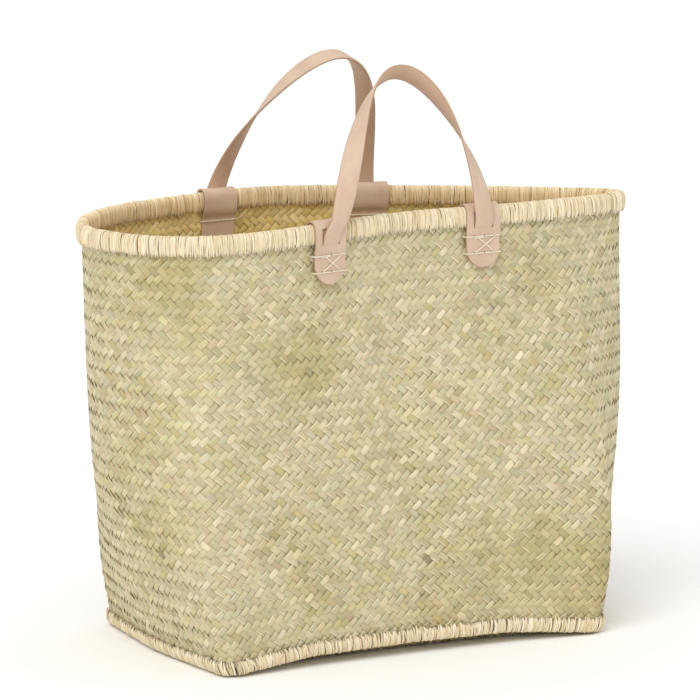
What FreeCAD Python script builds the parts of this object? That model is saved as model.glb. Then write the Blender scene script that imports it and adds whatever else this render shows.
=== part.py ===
"""Woven market basket with two leather handles.

One STEP file is written per separate piece. Lengths are in millimetres, +Z is up, the
origin is the centre of the woven base on the floor, the long side runs along X and the
front is towards -Y.
"""
import FreeCAD
import Part
import math
import os

Vector = FreeCAD.Vector
UP = Vector(0, 0, 1)

# Outline of the base, anticlockwise from the left end: x, y and height above the floor.
# The short ends bow out, the long sides bow in and lift a little between the corners.
BASE_OUTLINE = [
    (-193, 0, 0), (-183, -118, 0), (-98, -110, 8), (0, -107, 9), (98, -109, 8), (185, -118, 0),
    (195, 0, 0), (185, 116, 0), (98, 111, 6), (0, 109, 6), (-98, 111, 6), (-185, 117, 0),
]
BASE_CORNER_SOFTNESS = 14

# Outline of the rim's crest, anticlockwise from the left tip. The walls pull together
# towards two narrow ends, and the front is drawn in between its handle tabs.
RIM_OUTLINE = [
    (-264, 0, 383), (-239, -65, 383), (-188, -103, 384), (-123, -107, 386), (-64, -94, 388),
    (15, -82, 389), (88, -81, 388), (166, -77, 388), (230, -58, 386), (262, -24, 382),
    (244, 20, 379), (186, 54, 380), (108, 85, 382), (40, 102, 385), (-40, 112, 388),
    (-118, 108, 386), (-198, 84, 386), (-245, 47, 385),
]
RIM_SOFTNESS = 40

STATIONS = 96            # places round the basket where each outline is sampled
FACE_STATIONS = 6         # places that one face of a ring spans
WALL_LEVELS = 12         # heights at which the wall's two faces are shaped
POLE_ROUNDS = 30         # rounds that bring a curve onto the points it passes through
WALL_HEIGHT = 386        # from the base outline to the crest, measured upright
FLARE_POWER = 1.4        # how early the wall reaches the rim's outline on its way up
BELLY = 0.092            # how much wider the wall is a third of the way up, as a share
BELLY_SKEW = 0.0001      # how much more of that there is per millimetre to the right
BELLY_PEAK = 4 / 27      # greatest value of share * (1 - share) ** 2, at a third
WEAVE = 2.4              # thickness of the two-layer weave
SLOT = 1.5               # from the weave's middle to a binding's inner faces

# Sections of the bindings: distance outwards from the weave's middle, and height, which is
# measured from the crest for the rim and from the base outline for the base edge.
RIM_BAND_SKIN = [
    (SLOT, -17), (4.6, -17), (5.4, -13), (5.4, -5), (3.4, -1.2), (0, 0),
    (-3.4, -1.2), (-5.4, -5), (-5.4, -13), (-4.6, -17), (-SLOT, -17),
]
RIM_BAND_HOLLOW = [
    (-SLOT, -9.2), (-2.9, -7.8), (-2.9, -4.2), (-1.6, -2.4),
    (1.6, -2.4), (2.9, -4.2), (2.9, -7.8), (SLOT, -9.2),
]
RIM_CORE_MIDDLE = -6.0
BASE_BAND_SKIN = [
    (-SLOT, 16), (-4.2, 14), (-4.2, 8), (-3.9, 4.8), (-0.6, 4.8), (-0.6, 1.6), (-3.9, 1.6),
    (-2.4, 0), (2.0, 0), (4.0, 1.2), (5.2, 5), (5.2, 11), (3.8, 15), (SLOT, 16),
]
BASE_BAND_HOLLOW = [
    (SLOT, 12.6), (2.7, 11.3), (2.7, 7.7), (SLOT, 6.4),
    (-SLOT, 6.4), (-2.7, 7.7), (-2.7, 11.3), (-SLOT, 12.6),
]
BASE_CORE_MIDDLE = 9.5
CORE_RADIUS = 2.5
CORE_SIDES = 8
WALL_TOP = -9.6          # the weave's top edge, from the crest
WALL_BOTTOM = 13.0       # the weave's bottom edge, from the base outline
MAT_EDGE = -1.7          # the base mat's edge, from the outline
MAT_LEDGE = -5.6         # where the level edge of the mat begins
MAT_EDGE_HEIGHT = 2.0
MAT_FLAT_SHARE = 0.8     # share of the base that lies flat on the floor

# Leather.
TAB_WIDTH = 33
TAB_LEATHER = 1.6
TAB_END = -53.0          # lowest point of the tab's round end, from the crest
TAB_PLACES = {
    "front_left": (-79, -1), "front_right": (81, -1),
    "back_left": (-82, 1), "back_right": (64, 1),
}
STRAP_WIDTH = 18
STRAP_LEATHER = 2.2
STRAP_STAND_OFF = 9.9    # middle of the strap at the crest, outwards from the weave
STRAP_END = -47.5        # lowest point of the strap's sewn tail, from the crest
SEWN_CLEARANCE = 0.3
SLIT_BOTTOM = -20.0
SLIT_TOP = -8.4
SLIT_WIDTH = STRAP_WIDTH + 1.4
LIP = 7.1                # the tab's inner face at the slit, where the strap pushes it out
LIP_RISE = 7.5           # height over which the tab is pushed out
TAIL_BEND = -25.0        # where the sewn tail turns out towards the slit
STRAP_BELOW_SLIT_TOP = 0.6

# Hinge of each handle, where the leather folds just above the rim.
HINGE_ABOVE_CREST = 2.0
HINGE_OUTSIDE_STRAP = 1.6
ROOT_BELOW_HINGE = 1.0
HANDLE_ABOVE_HINGE = 0.7

# Arch of each handle, from the slit: rise of the apex, shift to the right, lean towards
# the middle, how far the legs pull together, the strap's greatest turn in degrees, and two
# powers: how soon along the arch it has turned most (below 1 is sooner), and how quickly it
# turns near the feet (below 1 is quicker).
HANDLES = {
    "front": {"side": -1, "rise": 138, "shift": 18, "lean": 50, "pull": 35,
              "turn": 139, "early": 1.0, "quick": 1.0},
    "back": {"side": 1, "rise": 148, "shift": 14, "lean": 84, "pull": 30,
             "turn": 110, "early": 0.82, "quick": 1.24},
}
FOOT_BELOW_CREST = 19
LEAN_POWER = 1.5
HANDLE_SECTIONS = 36
FOOT_SETTLES = 20        # height over which the strap's level end becomes square to its leg
PATH_STEP = 0.004
SHARE_ERROR = 1e-9

# Stitching of each tab.
THREAD_RADIUS = 0.5
STITCH_HOLE_RADIUS = 0.75
STITCH_ROWS = (-28.5, -42.5)
STITCH_HOLES = (-9.0, 1.0, 12.0)
STITCH_WRAP = TAB_WIDTH / 2 + 1.3
THREAD_LIFT = THREAD_RADIUS + 0.35
HOLE_REACH = 12          # how far a stitch hole runs each way from the crest's line


def resample(points, count):
    """Return points spaced evenly along a closed outline."""
    lengths = [math.dist(points[i], points[(i + 1) % len(points)]) for i in range(len(points))]
    step = sum(lengths) / count
    result = []
    side = 0
    passed = 0.0
    for k in range(count):
        while passed + lengths[side] < step * k:
            passed += lengths[side]
            side += 1
        share = (step * k - passed) / lengths[side]
        start = points[side]
        end = points[(side + 1) % len(points)]
        result.append(tuple(a + (b - a) * share for a, b in zip(start, end)))
    return result


def soften(points, width):
    """Round a closed outline's corners over the given width."""
    fine = resample(points, 4 * STATIONS)
    reach = round(width / 2 / math.dist(fine[0], fine[1]))
    for _ in range(2):
        fine = [mean_around(fine, i, reach) for i in range(len(fine))]
    return resample(fine, STATIONS)


def mean_around(points, middle, reach):
    near = [points[(middle + k) % len(points)] for k in range(-reach, reach + 1)]
    return tuple(sum(axis) / len(near) for axis in zip(*near))


BASE = soften(BASE_OUTLINE, BASE_CORNER_SOFTNESS)
RIM = soften(RIM_OUTLINE, RIM_SOFTNESS)


def wall_point(place, share):
    """Return the weave's middle at a place round the basket and a share of the height."""
    before = int(place) % STATIONS
    after = (before + 1) % STATIONS
    part = place - int(place)
    base = [a + (b - a) * part for a, b in zip(BASE[before], BASE[after])]
    rim = [a + (b - a) * part for a, b in zip(RIM[before], RIM[after])]
    flare = 1 - (1 - share) ** FLARE_POWER
    x, y = (a + (b - a) * flare for a, b in zip(base[:2], rim[:2]))
    swell = 1 + (BELLY + BELLY_SKEW * x) * share * (1 - share) ** 2 / BELLY_PEAK
    return Vector(x * swell, y * swell, base[2] + (rim[2] - base[2]) * share)


def outward(points, i):
    """Return the level direction that points out of an outline at one of its points."""
    along = points[(i + 1) % len(points)] - points[i - 1]
    return Vector(along.y, -along.x, 0).normalize()


def offset_row(points, distance, rise=0.0):
    return [p + outward(points, i) * distance + UP * rise for i, p in enumerate(points)]


def level_row(share):
    return [wall_point(i, share) for i in range(STATIONS)]


def through(row):
    """Return the control points of the closed curve that passes through a row."""
    poles = list(row)
    for _ in range(POLE_ROUNDS):
        ends = len(poles)
        curve = [(poles[i - 1] + poles[i] * 4 + poles[(i + 1) % ends]) * (1 / 6) for i in range(ends)]
        poles = [pole + point - passed for pole, point, passed in zip(poles, row, curve)]
    return poles


def ring_faces(rows, degree=1):
    """Return the faces that run round the basket through the given rows."""
    columns = list(zip(*[through(row) for row in rows]))
    spans = len(rows) - degree
    ends = [degree + 1]
    surface = Part.BSplineSurface()
    surface.buildFromPolesMultsKnots(
        [list(column) for column in columns],
        [1] * (STATIONS + 1), ends + [1] * (spans - 1) + ends,
        list(range(STATIONS + 1)), list(range(spans + 1)), True, False, 3, degree)
    surface.setUNotPeriodic()
    faces = []
    for start in range(0, STATIONS, FACE_STATIONS):
        piece = surface.copy()
        piece.segment(start, start + FACE_STATIONS, 0, spans)
        faces.append(piece.toShape())
    return faces


def closed_solid(faces):
    shell = Part.Shell(faces)
    shell.sewShape()
    solid = Part.Solid(shell)
    if solid.Volume < 0:
        solid.reverse()
    return solid


def ring_solid(rows):
    """Return the solid ring whose section has its corners on the given rows."""
    faces = []
    for a, b in zip(rows, rows[1:] + rows[:1]):
        faces += ring_faces([a, b])
    return closed_solid(faces)


def band(level, section):
    """Return a ring that follows the wall, its section's heights measured from a level."""
    return ring_solid([offset_row(level_row((level + rise) / WALL_HEIGHT), out) for out, rise in section])


def core(level, middle):
    """Return the round cord inside a binding."""
    corners = []
    for k in range(CORE_SIDES):
        angle = 2 * math.pi * (k + 0.5) / CORE_SIDES
        corners.append((CORE_RADIUS * math.cos(angle), middle + CORE_RADIUS * math.sin(angle)))
    return band(level, corners)


def woven_wall():
    low = WALL_BOTTOM / WALL_HEIGHT
    high = 1 + WALL_TOP / WALL_HEIGHT
    shares = [low + (high - low) * k / (WALL_LEVELS - 1) for k in range(WALL_LEVELS)]
    levels = [level_row(share) for share in shares]
    outside = [offset_row(level, WEAVE / 2) for level in levels]
    inside = [offset_row(level, -WEAVE / 2) for level in levels]
    faces = ring_faces(outside, 3) + ring_faces(inside, 3)
    for k in (0, -1):
        faces += ring_faces([outside[k], inside[k]])
    return closed_solid(faces)


def mat_row(share, height):
    edge = offset_row(level_row(0), MAT_EDGE)
    return [Vector(p.x * share, p.y * share, height) for p in edge]


def woven_base():
    """Return the base mat: flat on the floor, turned up to meet the edge binding."""
    under = [
        mat_row(MAT_FLAT_SHARE, 0),
        offset_row(level_row(0), MAT_LEDGE, MAT_EDGE_HEIGHT),
        offset_row(level_row(0), MAT_EDGE, MAT_EDGE_HEIGHT),
    ]
    over = [[p + UP * WEAVE for p in row] for row in under]
    rows = under + over[::-1]
    faces = [flat_face(under[0]), flat_face(over[0])]
    for a, b in zip(rows, rows[1:]):
        faces += ring_faces([a, b])
    return closed_solid(faces)


def flat_face(row):
    curve = Part.BSplineCurve()
    curve.buildFromPolesMultsKnots(
        through(row), [1] * (STATIONS + 1), list(range(STATIONS + 1)), True, 3)
    curve.setNotPeriodic()
    edges = []
    for start in range(0, STATIONS, FACE_STATIONS):
        piece = curve.copy()
        piece.segment(start, start + FACE_STATIONS)
        edges.append(piece.toShape())
    return Part.Face(Part.Wire(edges))


class Spot:
    """A place on the rim, with directions along it and out of it."""

    def __init__(self, x, side):
        rows = [k for k in range(STATIONS) if self.passes(k, x, side)]
        first = rows[0]
        a = wall_point(first, 1)
        b = wall_point(first + 1, 1)
        self.place = first + (x - a.x) / (b.x - a.x)
        self.crest = wall_point(self.place, 1)
        along = wall_point(self.place + 1, 1) - wall_point(self.place - 1, 1)
        self.along = Vector(along.x, along.y, 0).normalize() * -side
        self.out = Vector(-self.along.y, self.along.x, 0) * side

    @staticmethod
    def passes(k, x, side):
        a = RIM[k]
        b = RIM[(k + 1) % STATIONS]
        return a[1] * side > 0 and min(a[0], b[0]) <= x < max(a[0], b[0])

    def lean(self, height):
        """Return how far the weave's middle has moved out at a height below the crest."""
        point = wall_point(self.place, 1 + height / WALL_HEIGHT)
        return (point - self.crest).dot(self.out)

    def point(self, along, out, height):
        return self.crest + self.along * along + self.out * out + UP * height


def sided_offset(points, distance):
    """Return an open line moved sideways, to the left of its direction."""
    result = []
    for i, (n, z) in enumerate(points):
        before = points[max(i - 1, 0)]
        after = points[min(i + 1, len(points) - 1)]
        first = side_of(before, (n, z)) or side_of((n, z), after)
        second = side_of((n, z), after) or first
        mean = (first[0] + second[0], first[1] + second[1])
        scale = distance / (1 + first[0] * second[0] + first[1] * second[1])
        result.append((n + mean[0] * scale, z + mean[1] * scale))
    return result


def side_of(a, b):
    length = math.dist(a, b)
    if length == 0:
        return None
    return (-(b[1] - a[1]) / length, (b[0] - a[0]) / length)


def tab_inner_line(spot):
    """Return the tab's inner face in section, from its outer end over the rim."""
    tail_room = WEAVE / 2 + STRAP_LEATHER + 2 * SEWN_CLEARANCE
    inside_room = -WEAVE / 2 - SEWN_CLEARANCE
    return [
        (tail_room + spot.lean(TAB_END), TAB_END - 1),
        (tail_room + spot.lean(TAIL_BEND), SLIT_BOTTOM - LIP_RISE),
        (LIP, SLIT_BOTTOM), (6.2, -16), (6.2, -5), (4.2, -0.2), (0, 1.0),
        (-4.0, -0.2), (-6.0, -5), (-6.0, -14), (-5.3, -17.4),
        (inside_room + spot.lean(TAIL_BEND), TAIL_BEND),
        (inside_room + spot.lean(TAB_END), TAB_END - 1),
    ]


def tab(spot):
    inner = tab_inner_line(spot)
    outer = sided_offset(inner, -TAB_LEATHER)
    corners = [spot.point(-TAB_WIDTH / 2, n, z) for n, z in inner + outer[::-1]]
    folded = Part.Face(Part.makePolygon(corners + corners[:1])).extrude(spot.along * TAB_WIDTH)
    slit = spot_box(spot, SLIT_WIDTH, (3.0, 12.0), (SLIT_BOTTOM, SLIT_TOP))
    return folded.common(tab_outline(spot)).cut(Part.Compound([slit] + stitch_holes(spot)))


def tab_outline(spot):
    """Return the tab's front view, with its round end, as a block to trim it with."""
    half = TAB_WIDTH / 2
    reach = 20
    middle = TAB_END + half
    top = 6
    a = spot.point(-half, -reach, top)
    b = spot.point(-half, -reach, middle)
    low = spot.point(0, -reach, TAB_END)
    c = spot.point(half, -reach, middle)
    d = spot.point(half, -reach, top)
    edges = [Part.makeLine(a, b), Part.Arc(b, low, c).toShape(), Part.makeLine(c, d), Part.makeLine(d, a)]
    return Part.Face(Part.Wire(edges)).extrude(spot.out * (2 * reach))


def spot_box(spot, width, outs, heights):
    corners = [spot.point(a, outs[0], heights[0]) for a in (-width / 2, width / 2)]
    corners += [spot.point(a, outs[0], heights[1]) for a in (width / 2, -width / 2)]
    face = Part.Face(Part.makePolygon(corners + corners[:1]))
    return face.extrude(spot.out * (outs[1] - outs[0]))


def stitch_holes(spot):
    holes = []
    for height in STITCH_ROWS:
        for along in (-STITCH_WRAP,) + STITCH_HOLES + (STITCH_WRAP,):
            start = spot.point(along, -HOLE_REACH, height)
            holes.append(Part.makeCylinder(STITCH_HOLE_RADIUS, 2 * HOLE_REACH, start, spot.out))
    return holes


def rod(a, b):
    """Return a length of thread with round ends."""
    body = Part.makeCylinder(THREAD_RADIUS, (b - a).Length, a, b - a)
    return [body, Part.makeSphere(THREAD_RADIUS, a), Part.makeSphere(THREAD_RADIUS, b)]


def stitches(spot):
    """Return a tab's thread: two rows through all layers and a cross between them."""
    outs = {}
    ins = {}
    for height in STITCH_ROWS:
        lean = spot.lean(height)
        outer_face = WEAVE / 2 + STRAP_LEATHER + 2 * SEWN_CLEARANCE + TAB_LEATHER
        inner_face = WEAVE / 2 + SEWN_CLEARANCE + TAB_LEATHER
        outs[height] = lean + outer_face + THREAD_LIFT
        ins[height] = lean - inner_face - THREAD_LIFT
    pieces = []
    for height in STITCH_ROWS:
        for level in (outs[height], ins[height]):
            ends = [spot.point(side * STITCH_WRAP, level, height) for side in (-1, 1)]
            pieces += rod(*ends)
        for along in (-STITCH_WRAP,) + STITCH_HOLES + (STITCH_WRAP,):
            pieces += rod(spot.point(along, ins[height], height), spot.point(along, outs[height], height))
    upper, lower = STITCH_ROWS
    left = STITCH_HOLES[0]
    right = STITCH_HOLES[-1]
    pieces += rod(spot.point(left, outs[upper], upper), spot.point(right, outs[lower], lower))
    pieces += rod(spot.point(right, outs[upper], upper), spot.point(left, outs[lower], lower))
    return pieces[0].multiFuse(pieces[1:]).removeSplitter()


class Handle:
    """The arch of one handle, its hinge line and the strap's turn along it."""

    def __init__(self, name):
        self.shape = HANDLES[name]
        self.side = self.shape["side"]
        self.left = Spot(*TAB_PLACES[name + "_left"])
        self.right = Spot(*TAB_PLACES[name + "_right"])
        self.feet = [s.point(0, STRAP_STAND_OFF, -FOOT_BELOW_CREST) for s in (self.left, self.right)]
        across = self.feet[1] - self.feet[0]
        self.across = Vector(across.x, across.y, 0).normalize()
        self.out = Vector(-self.across.y, self.across.x, 0) * self.side
        self.crest = max(self.left.crest.z, self.right.crest.z)
        self.hinge_height = self.crest + HINGE_ABOVE_CREST
        start = self.hinge_height + HANDLE_ABOVE_HINGE
        self.first = self.share_at(start, True)
        self.last = self.share_at(start, False)

    def point(self, share):
        """Return the strap's middle at a share of the way from the left foot."""
        lift = self.shape["rise"] * 4 / 3
        shift = self.shape["shift"] * 4 / 3
        a, d = self.feet
        b = a + Vector(self.shape["pull"] + shift, 0, lift)
        c = d + Vector(shift - self.shape["pull"], 0, lift)
        rest = 1 - share
        p = a * rest ** 3 + b * (3 * rest ** 2 * share) + c * (3 * rest * share ** 2) + d * share ** 3
        apex = self.feet[0].z + self.shape["rise"]
        climbed = max(0.0, (p.z - self.crest) / (apex - self.crest))
        return p - self.out * (self.shape["lean"] * climbed ** LEAN_POWER)

    def share_at(self, height, left):
        """Return the share at which one leg passes a height."""
        low = 0.0 if left else 1.0
        high = 0.5
        while abs(high - low) > SHARE_ERROR:
            middle = (low + high) / 2
            if self.point(middle).z < height:
                low = middle
            else:
                high = middle
        return low

    def section(self, share):
        """Return the strap's rectangular outline at a share of the way."""
        ahead = (self.point(share + PATH_STEP) - self.point(share - PATH_STEP)).normalize()
        above = self.point(share).z - self.hinge_height
        settled = max(0.0, min(1.0, above / FOOT_SETTLES))
        upright = UP if share < 0.5 else UP * -1
        ahead = (upright * (1 - settled) + ahead * settled).normalize()
        foot = (self.out - ahead * self.out.dot(ahead)).normalize()
        arch = foot.cross(ahead) * -self.side
        along_arch = max(0.0, (share - self.first) / (self.last - self.first))
        swing = max(0.0, math.sin(math.pi * along_arch ** self.shape["early"])) ** self.shape["quick"]
        angle = math.radians(self.shape["turn"]) * swing
        smooth = foot * math.cos(angle) + arch * math.sin(angle)
        return strap_outline(self.point(share), ahead.cross(smooth), smooth)

    def strap(self):
        length = self.last - self.first
        shares = [self.first + length * k / HANDLE_SECTIONS for k in range(HANDLE_SECTIONS + 1)]
        return Part.makeLoft([self.section(share) for share in shares], True, False)

    def tail(self, spot, left):
        """Return the fixed end of the strap, from its sewn tail out through the slit."""
        flat = WEAVE / 2 + SEWN_CLEARANCE + STRAP_LEATHER / 2
        sections = []
        for height in (STRAP_END, TAIL_BEND):
            middle = spot.point(0, flat + spot.lean(height), height)
            sections.append(strap_outline(middle, spot.along, spot.out))
        out_of_slit = spot.point(0, STRAP_STAND_OFF, SLIT_TOP - STRAP_BELOW_SLIT_TOP)
        sections.append(strap_outline(out_of_slit, spot.along, spot.out))
        root = self.point(self.share_at(self.hinge_height - ROOT_BELOW_HINGE, left))
        sections.append(strap_outline(root, self.across, self.out))
        lofted = Part.makeLoft(sections, True, True)
        return lofted.cut(Part.Compound(stitch_holes(spot)))

    def hinge_line(self):
        """Return a point on the hinge and its direction, for the joint."""
        middle = (self.feet[0] + self.feet[1]) * 0.5 + self.out * HINGE_OUTSIDE_STRAP
        return Vector(middle.x, middle.y, self.hinge_height), self.across


def strap_outline(middle, along, out):
    a = along * (STRAP_WIDTH / 2)
    n = out * (STRAP_LEATHER / 2)
    corners = [middle - a - n, middle + a - n, middle + a + n, middle - a + n]
    return Part.makePolygon(corners + corners[:1])


def build():
    """Return every piece of the basket by name."""
    spots = {name: Spot(*place) for name, place in TAB_PLACES.items()}
    holes = [hole for spot in spots.values() for hole in stitch_holes(spot)]
    pieces = {
        "woven_wall": woven_wall().cut(Part.Compound(holes)),
        "woven_base": woven_base(),
        "rim_core": core(WALL_HEIGHT, RIM_CORE_MIDDLE),
        "rim_binding": band(WALL_HEIGHT, RIM_BAND_SKIN + RIM_BAND_HOLLOW),
        "base_edge_core": core(0, BASE_CORE_MIDDLE),
        "base_edge_binding": band(0, BASE_BAND_SKIN + BASE_BAND_HOLLOW),
    }
    for name in HANDLES:
        handle = Handle(name)
        pieces[name + "_handle_strap"] = handle.strap()
        print(name, "hinge", *handle.hinge_line())
        for side in ("left", "right"):
            spot = spots[name + "_" + side]
            pieces[name + "_" + side + "_tab"] = tab(spot)
            pieces[name + "_" + side + "_strap_tail"] = handle.tail(spot, side == "left")
            pieces[name + "_" + side + "_stitches"] = stitches(spot)
    return pieces


os.makedirs("parts", exist_ok=True)
for piece_name, piece in build().items():
    piece.exportStep("parts/" + piece_name + ".step")
    print(piece_name, len(piece.Solids), round(piece.Volume), piece.isValid())
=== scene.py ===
"""Looks of the woven market basket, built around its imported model.

Lengths are in metres, +Z is up, the origin is the centre of the base on the floor and the
front is towards -Y. A place round the basket counts stations, anticlockwise from its left end.
"""
import math

import bpy
import numpy as np
from mathutils import Matrix, Vector


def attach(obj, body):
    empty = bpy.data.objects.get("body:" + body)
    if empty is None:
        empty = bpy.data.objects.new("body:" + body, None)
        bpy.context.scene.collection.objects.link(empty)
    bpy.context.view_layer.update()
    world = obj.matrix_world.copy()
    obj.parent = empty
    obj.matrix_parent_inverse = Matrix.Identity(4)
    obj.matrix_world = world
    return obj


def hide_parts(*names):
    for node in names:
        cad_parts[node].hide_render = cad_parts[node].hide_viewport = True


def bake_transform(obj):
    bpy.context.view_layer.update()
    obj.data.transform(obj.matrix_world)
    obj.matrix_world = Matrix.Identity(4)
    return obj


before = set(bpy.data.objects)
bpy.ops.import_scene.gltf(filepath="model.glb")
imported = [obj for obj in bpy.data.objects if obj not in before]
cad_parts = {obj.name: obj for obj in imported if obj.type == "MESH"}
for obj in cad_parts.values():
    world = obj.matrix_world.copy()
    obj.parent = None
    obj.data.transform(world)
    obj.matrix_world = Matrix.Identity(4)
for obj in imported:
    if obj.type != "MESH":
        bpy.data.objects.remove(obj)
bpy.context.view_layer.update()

MM = 0.001
UP = np.array([0.0, 0.0, 1.0])

# The basket's two outlines, as the model has them: x, y and height.
BASE_OUTLINE = [
    (-0.193, 0, 0), (-0.183, -0.118, 0), (-0.098, -0.110, 0.008), (0, -0.107, 0.009),
    (0.098, -0.109, 0.008), (0.185, -0.118, 0), (0.195, 0, 0), (0.185, 0.116, 0),
    (0.098, 0.111, 0.006), (0, 0.109, 0.006), (-0.098, 0.111, 0.006), (-0.185, 0.117, 0),
]
BASE_CORNER_SOFTNESS = 0.014
RIM_OUTLINE = [
    (-0.264, 0, 0.383), (-0.239, -0.065, 0.383), (-0.188, -0.103, 0.384),
    (-0.123, -0.107, 0.386), (-0.064, -0.094, 0.388), (0.015, -0.082, 0.389),
    (0.088, -0.081, 0.388), (0.166, -0.077, 0.388), (0.230, -0.058, 0.386),
    (0.262, -0.024, 0.382), (0.244, 0.020, 0.379), (0.186, 0.054, 0.380),
    (0.108, 0.085, 0.382), (0.040, 0.102, 0.385), (-0.040, 0.112, 0.388),
    (-0.118, 0.108, 0.386), (-0.198, 0.084, 0.386), (-0.245, 0.047, 0.385),
]
RIM_SOFTNESS = 0.040
STATIONS = 96
WALL_HEIGHT = 0.386
FLARE_POWER = 1.4
BELLY = 0.092
BELLY_SKEW = 0.1  # more belly per metre to the right
BELLY_PEAK = 4 / 27  # greatest value of share * (1 - share) ** 2

# Weave: two families of flat strips that lean opposite ways.
STRIPS = 154  # in each family, round the basket
ROW = 0.00348  # height between two rows of crossings
PITCH = 0.008  # level distance between two strips of a family
STRIP_WIDTH = 0.0053
STRIP_THICKNESS = 0.00045
STRIP_RELIEF = 0.00062  # how far a strip's middle swings from the wall's middle
WEAVE_LOW = 0.012
WEAVE_HIGH = WALL_HEIGHT - 0.012
WALL_PARTS = 3  # meshes for each family

# Leather.
TAB_WIDTH = 0.033
TAB_LEATHER = 0.0016
TAB_PLACES = {
    "front_left": (-0.079, -1), "front_right": (0.081, -1),
    "back_left": (-0.082, 1), "back_right": (0.064, 1),
}
STRAP_WIDTH = 0.018
STRAP_LEATHER = 0.0022
STRAP_STAND_OFF = 0.0099  # from the weave's middle to the strap's, where it stands outside the rim
WEAVE_HALF = 0.0012  # half the thickness of the model's wall
SEWN_CLEARANCE = 0.0004
FACE, SUEDE, EDGE = 0, 1, 2  # the order of the leather's three materials

# Heights from the rim's crest.
TAB_END = -0.0528
STRAP_END = -0.0475
SLIT_BOTTOM = -0.0182
LEAVES_SLIT = -0.0135  # the strap is clear of the slit from here up
SLIT_TOP = -0.0040
FOOT_BELOW_CREST = 0.019
HINGE_ABOVE_CREST = 0.002

# A handle's rise from its feet, its top's shift to the right and lean inwards, how far its legs
# pull towards each other, its turn at the top in degrees, and how soon and how sharply it turns.
HANDLES = {
    "front": {"side": -1, "rise": 0.138, "shift": 0.018, "lean": 0.050, "pull": 0.035,
              "turn": 139, "early": 1.0, "quick": 1.0},
    "back": {"side": 1, "rise": 0.148, "shift": 0.014, "lean": 0.084, "pull": 0.030,
             "turn": 110, "early": 0.82, "quick": 1.24},
}
LEAN_POWER = 1.5
FOOT_SETTLES = 0.045  # climb in which a leg turns from upright to the arch's own direction


# ---- the basket's surface

def unit(vectors):
    """Return vectors at length 1."""
    return vectors / np.linalg.norm(vectors, axis=-1, keepdims=True)


def eased(share):
    """Return shares from 0 to 1 with a soft start and a soft end."""
    return share * share * (3 - 2 * share)


def distances(path):
    """Return how far along a path each of its points is."""
    return np.concatenate([[0], np.cumsum(np.linalg.norm(np.diff(path, axis=0), axis=1))])


def points_at(path, stops):
    """Return the points of a path at distances along it."""
    passed = distances(path)
    return np.column_stack([np.interp(stops, passed, path[:, k]) for k in range(path.shape[1])])


def spline(a, b, c, d, t):
    """Return the point at share t of the way from b to c, on a smooth curve past a, b, c and d."""
    return b + t * (c - a + t * (2 * a - 5 * b + 4 * c - d + t * (3 * (b - c) + d - a))) / 2


def resample(points, count):
    """Return points spaced evenly along a closed outline."""
    closed = np.vstack([points, points[:1]])
    return points_at(closed, np.arange(count) / count * distances(closed)[-1])


def soften(outline, width):
    """Round a closed outline's corners over the given width."""
    fine = resample(np.array(outline, float), 4 * STATIONS)
    reach = round(width / 2 / np.linalg.norm(fine[1] - fine[0]))
    for _ in range(2):
        fine = sum(np.roll(fine, k, axis=0) for k in range(-reach, reach + 1)) / (2 * reach + 1)
    return resample(fine, STATIONS)


BASE = soften(BASE_OUTLINE, BASE_CORNER_SOFTNESS)
RIM = soften(RIM_OUTLINE, RIM_SOFTNESS)
STATION_LENGTH = np.linalg.norm(np.roll(RIM, -1, axis=0) - RIM, axis=1).mean()


def around(ring, place):
    """Return the points of a closed ring at fractional places, on a smooth curve."""
    start = np.floor(place).astype(int)
    t = (place - start)[..., None]
    a, b, c, d = (ring[(start + k) % STATIONS] for k in (-1, 0, 1, 2))
    return spline(a, b, c, d, t)


def wall(place, height):
    """Return the weave's middle at places round the basket and heights above the base outline."""
    place, height = np.broadcast_arrays(np.asarray(place, float), np.asarray(height, float))
    share = height / WALL_HEIGHT
    flare = 1 - np.clip(1 - share, 0, None) ** FLARE_POWER
    base = around(BASE, place)
    rim = around(RIM, place)
    flat = base[..., :2] + (rim - base)[..., :2] * flare[..., None]
    rounding = share * (1 - share) ** 2 / BELLY_PEAK
    swell = 1 + (BELLY + BELLY_SKEW * flat[..., 0]) * rounding
    rise = base[..., 2] + (rim - base)[..., 2] * share
    return np.concatenate([flat * swell[..., None], rise[..., None]], axis=-1)


def wall_frame(place, height):
    """Return the wall's middle, its level direction and its outward normal."""
    beside = 0.3  # stations
    level = unit(wall(place + beside, height) - wall(place - beside, height))
    rise = unit(wall(place, height + 2 * MM) - wall(place, height - 2 * MM))
    return wall(place, height), level, unit(np.cross(level, rise))


# ---- meshes

def add_to_scene(name, data):
    """Return a new object in the scene that holds a mesh, a light or a camera."""
    obj = bpy.data.objects.new(name, data)
    bpy.context.scene.collection.objects.link(obj)
    return obj


def make_object(name, points, quads, materials, material_of_quad=None, sharp=50):
    """Return an object whose mesh has the given points and four-sided faces."""
    mesh = bpy.data.meshes.new(name)
    mesh.vertices.add(len(points))
    mesh.vertices.foreach_set("co", np.ascontiguousarray(points, np.float32).ravel())
    mesh.loops.add(quads.size)
    mesh.loops.foreach_set("vertex_index", np.ascontiguousarray(quads, np.int32).ravel())
    mesh.polygons.add(len(quads))
    mesh.polygons.foreach_set("loop_start", np.arange(0, quads.size, 4, dtype=np.int32))
    if material_of_quad is not None:
        mesh.polygons.foreach_set("material_index", np.asarray(material_of_quad, np.int32))
    mesh.update(calc_edges=True)
    mesh.polygons.foreach_set("use_smooth", np.ones(len(quads), bool))
    mesh.set_sharp_from_angle(angle=math.radians(sharp))
    for material in materials:
        mesh.materials.append(material)
    return add_to_scene(name, mesh)


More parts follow.
